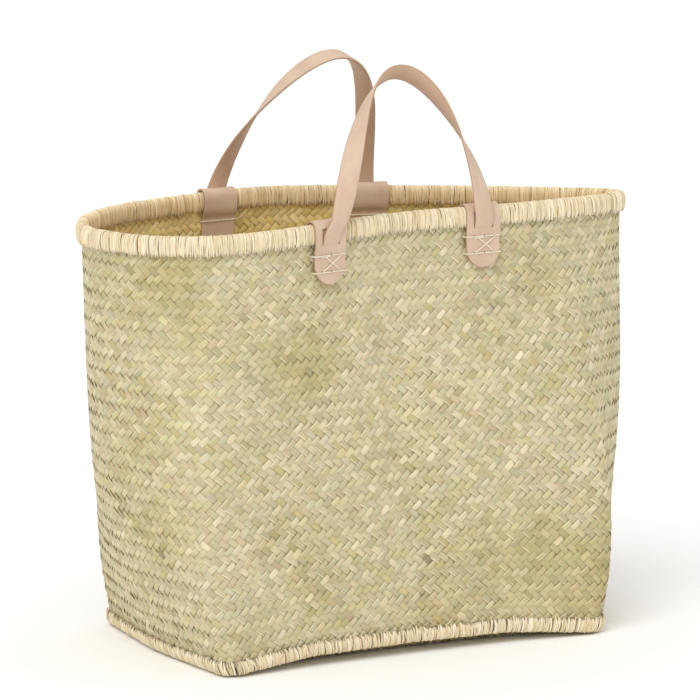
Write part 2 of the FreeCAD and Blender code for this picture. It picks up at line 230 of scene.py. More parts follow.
def add_attribute(obj, name, kind, values):
    """Give each point of an object's mesh a vector or a colour."""
    attribute = obj.data.attributes.new(name, kind, "POINT")
    field = "color" if kind == "FLOAT_COLOR" else "vector"
    attribute.data.foreach_set(field, np.ascontiguousarray(values, np.float32).ravel())


def tube_quads(steps, sides, cap):
    """Return the faces of a tube whose points run ring by ring, with the two caps' faces last."""
    ring = np.arange(sides)
    start = np.arange(steps - 1)[:, None] * sides
    a = start + ring
    b = start + (ring + 1) % sides
    round_it = np.stack([a, b, b + sides, a + sides], axis=-1).reshape(-1, 4)
    return np.vstack([round_it, cap[:, ::-1], cap + (steps - 1) * sides])


# Section of a flat strip: share of the half width, share of the half thickness.
FLAT_SECTION = np.array([(-1, 0), (-0.84, -1), (0.84, -1), (1, 0), (0.84, 1), (-0.84, 1)], float)
FLAT_CAP = np.array([(0, 1, 2, 3), (0, 3, 4, 5)])


class Pile:
    """Collects closed strips and threads into one mesh.

    A point's strip coordinates are across, along and a number for the whole strip. Its tint's
    alpha is how far it is from the end of its float."""

    def __init__(self):
        self.points = []
        self.quads = []
        self.strip = []
        self.tint = []
        self.count = 0

    def append(self, points, quads, strip, tint):
        """Add one closed mesh, with its points' strip coordinates and tints."""
        self.points.append(points.reshape(-1, 3))
        self.quads.append(quads + self.count)
        self.strip.append(strip.reshape(-1, 3))
        self.tint.append(tint.reshape(-1, 4))
        self.count += len(self.points[-1])

    def add(self, centres, across, out, half_width, half_thick, tint, seed, phase=1.0, inner=None):
        """Add one strip. across and out are unit vectors, one for each step; inner tints the face
        turned away from out, and for the wall also paints light on it; phase is the distance from the
        float's end."""
        steps = len(centres)
        x = FLAT_SECTION[:, 0]
        y = FLAT_SECTION[:, 1]
        wide = (half_width * np.ones(steps))[:, None] * x
        thick = (half_thick * np.ones(steps))[:, None] * y
        points = centres[:, None] + across[:, None] * wide[..., None] + out[:, None] * thick[..., None]
        sides = len(x)
        passed = np.repeat(distances(centres)[:, None], sides, 1)
        strip = np.stack([wide, passed, np.full_like(wide, seed)], axis=-1)
        colour = np.broadcast_to(tint, (steps, 3))[:, None].repeat(sides, 1)
        if inner is not None:
            # The inner face's tint, which on the wall also holds painted light.
            colour = np.where((y < 0)[:, None], colour * inner, colour)
        alpha = np.broadcast_to(np.reshape(phase, (-1, 1, 1)), (steps, sides, 1))
        self.append(points, tube_quads(steps, sides, FLAT_CAP), strip, np.concatenate([colour, alpha], -1))

    def make(self, name, material):
        """Return the object that holds everything added so far."""
        obj = make_object(name, np.vstack(self.points), np.vstack(self.quads), [material])
        add_attribute(obj, "strip", "FLOAT_VECTOR", np.vstack(self.strip))
        add_attribute(obj, "tint", "FLOAT_COLOR", np.vstack(self.tint))
        return obj


def linear(red, green, blue):
    """Return a screen colour, each part from 0 to 255, as the linear colour that shaders use."""
    shares = np.array([red, green, blue]) / 255
    return np.where(shares <= 0.04045, shares / 12.92, ((shares + 0.055) / 1.055) ** 2.4)


# ---- materials

class Nodes:
    """A short way to write a material's nodes."""

    def __init__(self, name):
        self.material = bpy.data.materials.new(name)
        self.material.use_nodes = True
        self.tree = self.material.node_tree
        self.shader = next(n for n in self.tree.nodes if n.type == "BSDF_PRINCIPLED")

    def add(self, kind, **values):
        """Add a node. A value is a socket's number, a link to another node's output, or a setting."""
        node = self.tree.nodes.new("ShaderNode" + kind)
        for key, value in values.items():
            if hasattr(node, key) and key not in node.inputs:
                setattr(node, key, value)
                continue
            self.set(node, key, value)
        return node

    def set(self, node, key, value):
        """Give a node's socket a number or a link. A key such as _0 is the socket's place."""
        socket = node.inputs[int(key[1:])] if key[0] == "_" else node.inputs[key]
        if isinstance(value, bpy.types.NodeSocket):
            self.tree.links.new(value, socket)
        else:
            socket.default_value = value

    def noise(self, vector, scale, detail=3.0, roughness=0.55):
        """Return a noise, which mostly runs from 0.3 to 0.7."""
        node = self.add("TexNoise", Vector=vector, Scale=scale, Detail=detail, Roughness=roughness)
        return node.outputs["Fac"]

    def stretched(self, vector, scales):
        return self.add("Mapping", Vector=vector, Scale=scales).outputs[0]

    def math(self, operation, a, b=0.0):
        return self.add("Math", operation=operation, _0=a, _1=b).outputs[0]

    def product(self, value, *others):
        for other in others:
            value = self.math("MULTIPLY", value, other)
        return value

    def between(self, value, low, high, to_low=0.0, to_high=1.0):
        """Return a value that runs from to_low to to_high while another runs from low to high."""
        node = self.add("MapRange", Value=value)
        for k, number in enumerate((low, high, to_low, to_high), start=1):
            node.inputs[k].default_value = number
        return node.outputs[0]

    def vary(self, noise, low=0.0, high=1.0):
        """Return a noise stretched to run from low to high."""
        return self.between(noise, 0.3, 0.7, low, high)

    def mix(self, factor, a, b, blend="MIX"):
        """Return a mix of two colours."""
        node = self.add("Mix", data_type="RGBA", blend_type=blend)
        for socket, value in ((0, factor), (6, a), (7, b)):
            if isinstance(value, bpy.types.NodeSocket):
                self.tree.links.new(value, node.inputs[socket])
            else:
                node.inputs[socket].default_value = value if socket == 0 else (*value, 1)
        return node.outputs[2]

    def shaded(self, colour, shade):
        """Return a colour made darker or lighter by a number."""
        grey = self.add("CombineColor", Red=shade, Green=shade, Blue=shade).outputs[0]
        return self.mix(1.0, colour, grey, "MULTIPLY")

    def bump(self, height, distance, strength=1.0, below=None):
        """Return a normal for a height, which may lie on top of another normal."""
        node = self.add("Bump", Height=height, Distance=distance, Strength=strength)
        if below is not None:
            self.set(node, "Normal", below)
        return node.outputs[0]

    def finish(self, colour, normal, roughness, specular=0.5):
        """Give the shader its four values and return the material."""
        self.set(self.shader, "Base Color", colour)
        self.set(self.shader, "Normal", normal)
        self.set(self.shader, "Roughness", roughness)
        self.set(self.shader, "Specular IOR Level", specular)
        return self.material


GOLDEN_STAIN = (0.84, 0.80, 0.64)
CREASE_HIGHLIGHT_COLOUR = linear(240, 230, 200)
BROWN_STREAK = (0.86, 0.74, 0.55)


def leaf_material():
    """Flat plant strips: fibres, painted shade along the edges and at the float ends, folded creases with a
    painted highlight, stains.
    """
    m = Nodes("seagrass")
    half_width = STRIP_WIDTH / 2
    strip = m.add("Attribute", attribute_name="strip").outputs["Vector"]
    tint = m.add("Attribute", attribute_name="tint")
    apart = m.add("SeparateXYZ", Vector=strip)
    side = m.math("ABSOLUTE", apart.outputs["X"])
    place = m.add("TexCoord").outputs["Object"]
    fibres = m.noise(m.stretched(strip, (3200, 70, 900)), 1.0, 2.0)
    broad = m.noise(m.stretched(strip, (900, 25, 500)), 1.0, 2.0)
    stains = m.noise(place, 38.0, 4.0, 0.65)
    clouds = m.noise(place, 7.0, 2.0, 0.5)
    grain = m.vary(fibres, 0.91, 1.09)
    bands = m.vary(broad, 0.937, 1.063)
    # Painted shade: the strip's two edges are darkened in patches, for the shade in the gaps between
    # strips.
    edge_shade_patches = m.noise(m.stretched(strip, (0, 90, 3000)), 1.0, 1.0)
    edge = m.between(side, 0.86 * half_width, half_width)
    edge = m.between(m.product(edge, m.between(edge_shade_patches, 0.42, 0.62)), 0.0, 1.0, 1.0, 0.72)
    # Painted shade: a float's end, which dives under another strip, is darkened for the shadow there; how
    # dark changes over the wall.
    float_end = m.between(tint.outputs["Alpha"], 0.0, 0.07)
    darkest = m.between(m.noise(place, 420.0, 1.0), 0.35, 0.65, 0.30, 0.85)
    float_end = m.math("ADD", darkest, m.product(float_end, m.math("SUBTRACT", 1.0, darkest)))
    shade = m.product(m.vary(stains, 0.94, 1.06), grain, bands, edge, float_end)
    colour = m.shaded(tint.outputs["Color"], shade)
    golden = m.mix(1.0, colour, GOLDEN_STAIN, "MULTIPLY")
    colour = m.mix(m.between(clouds, 0.50, 0.70), colour, golden)
    # Some strips have a crease along one side: a real fold in the bump, with a painted highlight along it.
    crease = m.product(
        m.between(apart.outputs["X"], 0.50 * half_width, 0.62 * half_width),
        m.between(apart.outputs["X"], 0.92 * half_width, 0.80 * half_width),
        m.between(broad, 0.44, 0.56, 0.0, 0.75),
        m.between(apart.outputs["Z"], 0.38, 0.48),
    )
    colour = m.mix(crease, colour, CREASE_HIGHLIGHT_COLOUR)
    height = m.math("ADD", fibres, m.product(crease, 2.0))
    return m.finish(colour, m.bump(height, 0.00005), m.vary(broad, 0.45, 0.65), 0.4)


def raffia_material():
    """Split raffia: fine fibres, matt, with faint brown streaks."""
    m = Nodes("raffia")
    strip = m.add("Attribute", attribute_name="strip").outputs["Vector"]
    tint = m.add("Attribute", attribute_name="tint").outputs["Color"]
    fibres = m.noise(m.stretched(strip, (4200, 90, 900)), 1.0, 2.0)
    broad = m.noise(m.stretched(strip, (1100, 50, 500)), 1.0, 2.0)
    colour = m.shaded(tint, m.vary(fibres, 0.93, 1.05))
    streaked = m.mix(1.0, colour, BROWN_STREAK, "MULTIPLY")
    colour = m.mix(m.between(broad, 0.55, 0.75, 0.0, 0.55), colour, streaked)
    return m.finish(colour, m.bump(fibres, 0.00008), 0.72, 0.3)


def core_material():
    """The bundle inside a binding, which hardly shows."""
    m = Nodes("raffia_core")
    place = m.add("TexCoord").outputs["Object"]
    fibres = m.noise(place, 700.0, 3.0)
    colour = m.mix(fibres, linear(190, 165, 115), linear(225, 205, 160))
    return m.finish(colour, m.bump(fibres, 0.0002), 0.85)


def leather_material():
    """The tanned outer face: soft mottling and a fine grain."""
    m = Nodes("leather_face")
    place = m.add("TexCoord").outputs["Object"]
    mottle = m.noise(place, 45.0, 5.0, 0.6)
    pores = m.noise(place, 2600.0, 3.0, 0.6)
    grain = m.add("TexVoronoi", Vector=place, Scale=1500.0).outputs["Distance"]
    colour = m.mix(m.vary(mottle), linear(206, 176, 152), linear(216, 191, 167))
    speckle = m.between(pores, 0.35, 0.65, 0.96, 1.03)
    relief = m.bump(grain, 0.00005, 0.5, m.bump(pores, 0.00004, 0.6))
    return m.finish(m.shaded(colour, speckle), relief, m.vary(mottle, 0.5, 0.62))


def suede_material():
    """The napped inner face."""
    m = Nodes("leather_suede")
    place = m.add("TexCoord").outputs["Object"]
    nap = m.noise(place, 1500.0, 4.0, 0.7)
    cloud = m.noise(place, 160.0, 4.0, 0.6)
    colour = m.mix(m.vary(nap), linear(186, 153, 127), linear(223, 194, 168))
    colour = m.mix(m.between(cloud, 0.35, 0.65, 0.0, 0.4), colour, linear(211, 179, 155))
    m.set(m.shader, "Sheen Weight", 0.25)
    return m.finish(colour, m.bump(nap, 0.00012), 0.95, 0.2)


def edge_material():
    """The cut edge of the leather: packed fibres, a little darker."""
    m = Nodes("leather_edge")
    place = m.add("TexCoord").outputs["Object"]
    fibres = m.noise(place, 1800.0, 3.0, 0.7)
    colour = m.mix(fibres, linear(176, 138, 110), linear(208, 174, 146))
    return m.finish(colour, m.bump(fibres, 0.00008), 0.8)


def thread_material():
    """Waxed thread: cream, with a twist."""
    m = Nodes("thread")
    strip = m.add("Attribute", attribute_name="strip").outputs["Vector"]
    tint = m.add("Attribute", attribute_name="tint").outputs["Color"]
    twist = m.add("TexWave", Vector=m.stretched(strip, (500, 500, 1)), Scale=1.0).outputs["Fac"]
    colour = m.mix(m.between(twist, 0, 1, 0.0, 0.22), tint, linear(196, 176, 140))
    return m.finish(colour, m.bump(twist, 0.0001), 0.55)


# ---- weave

LEAF_COLOURS = [linear(*colour) for colour in (
    (206, 194, 154), (197, 191, 148), (196, 182, 131), (201, 195, 163), (204, 184, 148), (220, 208, 174),
)]
LEAF_SHARES = [0.44, 0.23, 0.12, 0.09, 0.03, 0.09]
FAMILY_PAINTED_LIGHT = {1: 1.03, -1: 0.96}  # painted light: the strips that rise to the right are painted a little lighter, for how the lamp catches their slopes
INNER_FACE_TINT_AND_LIGHT = np.array([1.50, 1.34, 0.94])  # the palm's other face: yellower, and painted lighter for the light inside the basket

# How a strip swings over and under, as shares of STRIP_RELIEF. The cap flattens its floats.
SWING = 1.4
SWING_CAP = 1.15

# How much strips and floats differ from each other (SPREAD) and wave along their length (WAVE).
LIFT_SPREAD = 0.00006
TILT_SPREAD = 0.075  # radians
TILT_WAVE = 0.04
SIDE_SPREAD = 0.00012
SIDE_WAVE = 0.00022
WIDTH_SPREAD = 0.07
WIDTH_WAVE = 0.03
WIDTH_LIMITS = (0.95, 1.12)  # narrower strips would let light through the wall
STRIP_SHADE_SPREAD = 0.03
FLOAT_SHADE_SPREAD = 0.06
DARK_FLOATS = 0.0012  # share of the floats that are stained
DARK_SHADE = 0.55


def wander(rng, length, waves=3, shortest=0.03, longest=0.2):
    """Return a smooth random wave about as high as 1 along a strip."""
    wave = np.zeros_like(length)
    for _ in range(waves):
        period = rng.uniform(shortest, longest)
        wave += np.sin(2 * np.pi * (length / period + rng.random())) / waves
    return wave


def strip_tint(rng, passed, float_number):
    """Return a strip's colour at each step: two leaf colours that run into each other."""
    first, second = rng.choice(len(LEAF_COLOURS), 2, p=LEAF_SHARES)
    share = (0.5 + 0.5 * wander(rng, passed, 2, 0.1, 0.5))[:, None]
    base = LEAF_COLOURS[first] * (1 - share) + LEAF_COLOURS[second] * share
    shade = rng.normal(1.0, FLOAT_SHADE_SPREAD, float_number.max() + 1)
    stained = rng.random(len(shade)) < DARK_FLOATS
    shade = np.where(stained, DARK_SHADE, shade)
    return base * shade[float_number][:, None] * rng.normal(1.0, STRIP_SHADE_SPREAD)


def weave_strip(pile, rng, rho, centres, out, lean, inner_tint_and_light):
    """Add one strip that runs over two and under two strips of the other family.

    rho counts crossings. lean is 1 for the strips that rise to the right, which are over at
    crossings 0 and 1, and -1 for the others."""
    ahead = unit(np.gradient(centres, axis=0))
    across = unit(np.cross(out, ahead))
    passed = distances(centres)
    float_number = np.floor((rho + 0.5) / 2).astype(int)
    float_number -= float_number.min()
    floats = float_number.max() + 1
    swing = lean * np.clip(SWING * np.cos(np.pi * (rho - 0.5) / 2), -SWING_CAP, SWING_CAP)
    lift = STRIP_RELIEF * swing + rng.normal(0, LIFT_SPREAD, floats)[float_number]
    tilt = rng.normal(0, TILT_SPREAD, floats)[float_number] + TILT_WAVE * wander(rng, passed)
    sideways = SIDE_WAVE * wander(rng, passed) + rng.normal(0, SIDE_SPREAD)
    centres = centres + out * lift[:, None] + across * sideways[:, None]
    turned = across * np.cos(tilt)[:, None] + out * np.sin(tilt)[:, None]
    normal = out * np.cos(tilt)[:, None] - across * np.sin(tilt)[:, None]
    width = STRIP_WIDTH * np.clip(rng.normal(1.0, WIDTH_SPREAD), *WIDTH_LIMITS)
    half_width = width / 2 * (1 + WIDTH_WAVE * wander(rng, passed, 3, 0.02, 0.08))
    to_float_end = 1 - np.abs((rho + 0.5) % 2 - 1)
    # The family's painted light makes the whole strip lighter or darker.
    tint = strip_tint(rng, passed, float_number) * FAMILY_PAINTED_LIGHT[lean]
    pile.add(centres, turned, normal, half_width, STRIP_THICKNESS / 2, tint, rng.random(),
             to_float_end, inner_tint_and_light)


# Where the soft wall dips (-) or swells: place, height, reach round, reach up, depth.
SLACK = [
    (24.3, 0.20, 1.6, 0.15, -0.0036), (20.5, 0.22, 2.4, 0.13, 0.0022), (28.5, 0.18, 2.6, 0.12, 0.0020),
    (14.0, 0.12, 2.2, 0.09, -0.0022), (33.5, 0.10, 2.2, 0.08, -0.0020), (16.5, 0.27, 2.2, 0.07, -0.0018),
    (61.0, 0.20, 3.0, 0.12, -0.0030), (70.0, 0.22, 3.0, 0.12, 0.0024), (78.0, 0.14, 3.0, 0.10, -0.0026),
]


def slackness(place, height):
    """Return how far the soft wall stands out from its even shape. Both edges keep that shape."""
    depth = 0
    for middle, level, round_reach, up_reach, most in SLACK:
        apart = (place - middle + STATIONS / 2) % STATIONS - STATIONS / 2
        depth = depth + most * np.exp(-(apart / round_reach) ** 2 - ((height - level) / up_reach) ** 2)
    fade = np.clip(height / 0.05, 0, 1) * np.clip((WALL_HEIGHT - 0.04 - height) / 0.06, 0, 1)
    return depth * fade


def woven_wall(material):
    """Return the wall's meshes: each holds a third of one family's strips."""
    rows = int((WEAVE_HIGH - WEAVE_LOW) / ROW)
    rho = np.arange(0, 2 * rows + 1) / 2
    height = WEAVE_LOW + rho * ROW
    made = []
    for lean, family in ((1, "rising"), (-1, "falling")):
        rng = np.random.default_rng(10 + lean)
        for part in range(WALL_PARTS):
            pile = Pile()
            for index in range(part * STRIPS // WALL_PARTS, (part + 1) * STRIPS // WALL_PARTS):
                place = (index + lean * rho / 2) / STRIPS * STATIONS
                centres, _, out = wall_frame(place, height)
                centres = centres + out * slackness(place, height)[:, None]
                weave_strip(pile, rng, rho, centres, out, lean, INNER_FACE_TINT_AND_LIGHT)
            made.append(pile.make(f"wall_strips_{family}_{part + 1}", material))
    return made


# ---- base mat

MAT_FLAT_SHARE = 0.8  # flat to here and risen from there, as shares of the way out
MAT_RISEN_SHARE = 0.97
MAT_EDGE = 0.0017
MAT_EDGE_HEIGHT = 0.002
MAT_MIDDLE = 0.0017  # high enough for the strips' lowest edges to clear the floor


def mat_height(points):
    """Return the height of the mat's middle and whether each point is on the mat."""
    outline = around(BASE, np.arange(4 * STATIONS) / 4)
    angles = np.unwrap(np.arctan2(outline[:, 1], outline[:, 0]))
    turn = np.arctan2(points[:, 1], points[:, 0])
    turn = np.where(turn < angles[0], turn + 2 * np.pi, turn)
    turn = np.where(turn > angles[-1], turn - 2 * np.pi, turn)
    order = np.argsort(angles)
    reach = np.interp(turn, angles[order], np.hypot(outline[:, 0], outline[:, 1])[order])
    edge = np.interp(turn, angles[order], outline[order, 2]) + MAT_EDGE_HEIGHT
    share = np.hypot(points[:, 0], points[:, 1]) / (reach - MAT_EDGE)
    rise = np.clip((share - MAT_FLAT_SHARE) / (MAT_RISEN_SHARE - MAT_FLAT_SHARE), 0, 1)
    return MAT_MIDDLE + edge * rise, share <= 1.0


def woven_base(material):
    """Return the base mat's strips, which are cut off under the edge binding."""
    pile = Pile()
    reach_x = np.abs(BASE[:, 0]).max()
    reach_y = np.abs(BASE[:, 1]).max()
    rows = int(reach_y / ROW)
    rho = np.arange(-2 * rows, 2 * rows + 1) / 2
    count = int((reach_x + reach_y * PITCH / 2 / ROW) / PITCH) + 1
    for lean in (1, -1):
        rng = np.random.default_rng(20 + lean)
        for index in range(-count, count + 1):
            flat = np.column_stack([PITCH * (index + lean * rho / 2), rho * ROW, np.zeros_like(rho)])
            height, inside = mat_height(flat)
            if inside.sum() < 4:
                continue
            flat[:, 2] = height
            centres = flat[inside]
            out = np.broadcast_to(UP, centres.shape)
            weave_strip(pile, rng, rho[inside], centres, out, lean, None)
    return pile.make("base_mat", material)


# ---- bindings

RAFFIA_COLOURS = [linear(*colour) for colour in (
    (238, 224, 191), (232, 215, 180), (245, 234, 207), (224, 206, 167), (206, 183, 140),
)]
RAFFIA_SHARES = [0.34, 0.27, 0.22, 0.13, 0.04]

# Path of one wrap in section: distance outwards from the weave's middle, height from the crest.
RIM_PATH = np.array([
    (1.0, -16.4), (3.4, -17.0), (4.7, -15.0), (5.1, -12.0), (5.1, -8.0), (4.7, -4.0), (3.0, -1.0),
    (0.0, -0.2), (-3.0, -1.0), (-4.7, -4.0), (-5.1, -8.0), (-5.1, -12.0), (-4.7, -15.0),
    (-3.4, -16.8), (-1.0, -16.2),
]) * MM
# The same for the base edge, height from the base outline.
BASE_PATH = np.array([
    (1.0, 12.8), (3.4, 13.4), (4.7, 11.8), (5.2, 8.6), (5.0, 5.4), (3.8, 2.6), (1.5, 1.7),
    (-2.0, 1.7), (-3.8, 2.8), (-4.4, 6.0), (-4.4, 9.0), (-3.6, 11.8), (-1.2, 13.0),
]) * MM
PATH_STEPS = 15
WRAP_INNER_PAINTED_SHADE = np.array([1.03, 0.95, 0.84])  # painted shade: towards a wrap's inner end, inside the basket, it is coloured warmer and a little darker
WRAP_PINCH = 0.4  # share of its width that a wrap has at its ends
# painted shade: a wrap is darker towards both ends, where it goes into the weave
WRAP_END_SHADE = 0.72
WRAP_BEND = 0.0003  # spread of a wrap's bend along the edge
WRAP_STRAY = 0.00012  # spread of each of its points along the edge
WRAP_ROLL = 0.22  # spread of its twist, radians
WRAP_HALF_THICK = 0.00012
WRAP_ROUNDNESS = 0.15  # more half thickness for each metre of width

# Layers of wraps: how many, their least and greatest width, how far they lift, their shade. The under
# layer's low shade is painted shade, which shows in the gaps between the wraps above it.
RIM_LAYERS = [
    (420, (0.0030, 0.0038), (-0.0016, -0.0013), 0.50), (1040, (0.0010, 0.0016), (-0.0006, 0.0001), 0.94),
    (1000, (0.0008, 0.0013), (-0.0001, 0.0005), 1.03),
]
BASE_LAYERS = [
    (400, (0.0030, 0.0038), (-0.0016, -0.0013), 0.50), (640, (0.0012, 0.0021), (-0.0005, 0.0003), 0.95),
    (560, (0.0009, 0.0017), (0.0, 0.0006), 1.03),
]


def smooth_path(path, steps):
    """Return a path's points spaced evenly, on a smooth curve through its corners."""
    closed = np.vstack([2 * path[0] - path[1], path, 2 * path[-1] - path[-2]])
    spots = np.linspace(0, len(path) - 1, 8 * len(path))
    start = np.minimum(spots.astype(int), len(path) - 2)
    t = (spots - start)[:, None]
    a, b, c, d = (closed[start + k] for k in range(4))
    fine = spline(a, b, c, d, t)
    return points_at(fine, np.linspace(0, distances(fine)[-1], steps))


def wrap(pile, rng, place, level, path, width, lift, slant, tint):
    """Add one wrap of raffia round the edge at a place."""
    share = np.linspace(0, 1, len(path))
    ends = np.minimum(share, 1 - share)
    wide = width * (WRAP_PINCH + (1 - WRAP_PINCH) * np.clip(ends / 0.14, 0, 1))
    rise = lift * np.clip(ends / 0.2, 0, 1)
    shift = slant * (share - 0.5) * 2 + rng.normal(0, WRAP_BEND) * np.cos(2 * np.pi * share)
    shift = shift + rng.normal(0, WRAP_STRAY, len(path))
    base, along, _ = wall_frame(place + shift / STATION_LENGTH, level + path[:, 1])
    level_out = unit(np.cross(along, UP))
    centres = base + level_out * path[:, :1]
    ahead = unit(np.gradient(centres, axis=0))
    normal = unit(np.cross(ahead, along))
    normal *= np.sign(((centres - centres.mean(axis=0)) * normal).sum())  # away from the bundle
    roll = rng.normal(0, WRAP_ROLL)
    across = unit(np.cross(normal, ahead)) * np.cos(roll) + normal * np.sin(roll)
    normal = unit(np.cross(ahead, across))
    centres = centres + normal * rise[:, None]
    # Painted shade towards both ends, where the wrap goes into the weave.
    shade = WRAP_END_SHADE + (1 - WRAP_END_SHADE) * np.clip(ends / 0.1, 0, 1)
    # Painted shade on the wrap's inner end, inside the basket.
    inside = np.clip((share - 0.5) / 0.15, 0, 1)[:, None]
    colour = tint * shade[:, None] * (1 + (WRAP_INNER_PAINTED_SHADE - 1) * inside)
    thick = WRAP_HALF_THICK + WRAP_ROUNDNESS * wide
    pile.add(centres, across, normal, wide / 2, thick, colour, rng.random())


def binding(name, level, path, layers, slant, ragged, seed, material):
    """Return an edge's overcasting, one object for each layer of wraps.

    slant is how far wraps lean along the edge, and ragged how much their lengths differ."""
    rng = np.random.default_rng(seed)
    route = smooth_path(path, PATH_STEPS)
    made = []
    for number, (count, widths, lifts, shade) in enumerate(layers):
        pile = Pile()
        drift = 0.0
        for k in range(count):
            place = (k + rng.normal(0, 0.35)) / count * STATIONS
            drift = 0.8 * drift + rng.normal(0, slant * 0.6)
            tint = RAFFIA_COLOURS[rng.choice(len(RAFFIA_COLOURS), p=RAFFIA_SHARES)]
            # The layer's shade makes the under layer dark, as painted shade in the gaps.
            tint = tint * shade * rng.normal(1.0, 0.05)
            bent = route.copy()
            bent[:, 1] *= rng.normal(1.0, ragged)
            bent[:, 1] += rng.normal(0, 0.0004) * np.abs(np.cos(np.pi * np.linspace(0, 1, PATH_STEPS)))
            wrap(pile, rng, place, level, bent, rng.uniform(*widths), rng.uniform(*lifts), drift, tint)
        made.append(pile.make(f"{name}_{number + 1}", material))
    return made


# ---- leather

class Spot:
    """A place on the rim, with directions along it and out of it."""

    def __init__(self, x, side):
        for first in range(STATIONS):
            a = RIM[first]
            b = RIM[(first + 1) % STATIONS]
            if a[1] * side > 0 and min(a[0], b[0]) <= x < max(a[0], b[0]):
                break
        self.place = first + (x - a[0]) / (b[0] - a[0])
        self.crest = wall(self.place, WALL_HEIGHT)
        along = (wall(self.place + 1, WALL_HEIGHT) - wall(self.place - 1, WALL_HEIGHT)) * -side
        self.along = unit(along * (1, 1, 0))
        self.out = np.array([-self.along[1], self.along[0], 0]) * side
        self.side = side

    def lean(self, height):
        """Return how far the weave's middle has moved out at a height below the crest."""
        return (wall(self.place, WALL_HEIGHT + height) - self.crest) @ self.out

    def point(self, along, out, height):
        along, out, height = (np.asarray(v, float)[..., None] for v in (along, out, height))
        return self.crest + self.along * along + self.out * out + UP * height


# Distances outwards from the weave's middle, and heights from the crest, to the tab's inner face.
TAB_OUTSIDE = 0.0044  # over the strap's sewn end
TAB_INSIDE = -0.0015
TAB_OVER_RIM = [
    (0.0064, -0.0190), (0.0066, -0.0150), (0.0063, -0.0050), (0.0042, -0.0002), (0.0, 0.0012),
    (-0.0042, -0.0002), (-0.0063, -0.005), (-0.0062, -0.013), (-0.0050, -0.0180),
]
TAB_CURL = 0.0005
TAB_WAVE = 0.0003
SLIT_CLEARANCE = 0.0006
EDGE_ROUNDING = 0.00035


def tab_line(spot):
    """Return the tab's inner face in section, from its outer end over the rim to its inner end."""
    def beside(out, height):
        return out + spot.lean(height), height

    line = [
        beside(TAB_OUTSIDE, TAB_END), beside(TAB_OUTSIDE, -0.035), beside(TAB_OUTSIDE + 0.0002, -0.026),
        *TAB_OVER_RIM,
        beside(TAB_INSIDE - 0.0005, -0.024), beside(TAB_INSIDE, -0.035), beside(TAB_INSIDE, TAB_END),
    ]
    return smooth_path(np.array(line), 320)


def tab(name, spot, materials, seed):
    """Return a tab: one sheet folded over the rim, round at both ends, with a slit."""
    rng = np.random.default_rng(seed)
    line = tab_line(spot)
    length = distances(line)
    total = length[-1]
    half = TAB_WIDTH / 2
    outer = line[: len(line) // 2]
    slit_low, slit_high = np.interp((SLIT_BOTTOM, SLIT_TOP), outer[:, 1], length[: len(outer)])
    turn = np.linspace(0.06, np.pi / 2, 12)
    round_end = half * (1 - np.cos(turn))
    middle = [np.linspace(half, slit_low, 22)[1:], np.linspace(slit_low, slit_high, 8)[1:],
              np.linspace(slit_high, total - half, 50)[1:]]
    stops = np.concatenate([round_end, *middle, total - round_end[::-1][1:]])
    inset = np.clip(half - np.minimum(stops, total - stops), 0, None)
    half_width = np.sqrt(half ** 2 - inset ** 2)
    opening = (STRAP_WIDTH / 2 + SLIT_CLEARANCE) / half
    columns = np.concatenate([np.linspace(-1, -opening, 6), np.linspace(-opening, opening, 13)[1:-1],
                              np.linspace(opening, 1, 6)])
    n, z = points_at(line, stops).T
    slope = unit(np.column_stack([np.gradient(n, stops), np.gradient(z, stops)]))
    normal = np.column_stack([slope[:, 1], -slope[:, 0]])
    waves = TAB_WAVE * wander(rng, stops, 3, 0.02, 0.06)
    grid = []
    for x in columns:
        curl = TAB_CURL * abs(x) ** 3 * (0.6 + 0.4 * np.sin(stops / 0.012 + 2 * x + seed)) + waves * x
        off = TAB_LEATHER + curl
        grid.append(spot.point(x * half_width, n + normal[:, 0] * off, z + normal[:, 1] * off))
    beside_stop = (stops[:-1] + stops[1:]) / 2
    beside_column = (columns[:-1] + columns[1:]) / 2
    slit = (np.abs(beside_column) < opening)[:, None] & (slit_low < beside_stop) & (beside_stop < slit_high)
    i, j = np.nonzero(~slit)
    rows = len(stops)
    a = i * rows + j
    quads = np.column_stack([a, a + rows, a + rows + 1, a + 1])
    if spot.side > 0:
        quads = quads[:, ::-1]
    obj = make_object(name, np.vstack(grid), quads, materials)
    make_leather(obj)
    return obj


def make_leather(obj):
    """Give a sheet its thickness, its suede back, its cut edge and a soft corner between them."""
    thicken = obj.modifiers.new("leather", "SOLIDIFY")
    thicken.thickness = TAB_LEATHER
    thicken.offset = -1
    thicken.material_offset = SUEDE
    thicken.material_offset_rim = EDGE
    thicken.use_even_offset = True
    bevel = obj.modifiers.new("edges", "BEVEL")
    bevel.width = EDGE_ROUNDING
    bevel.segments = 2
    bevel.limit_method = "ANGLE"
    bevel.angle_limit = math.radians(50)


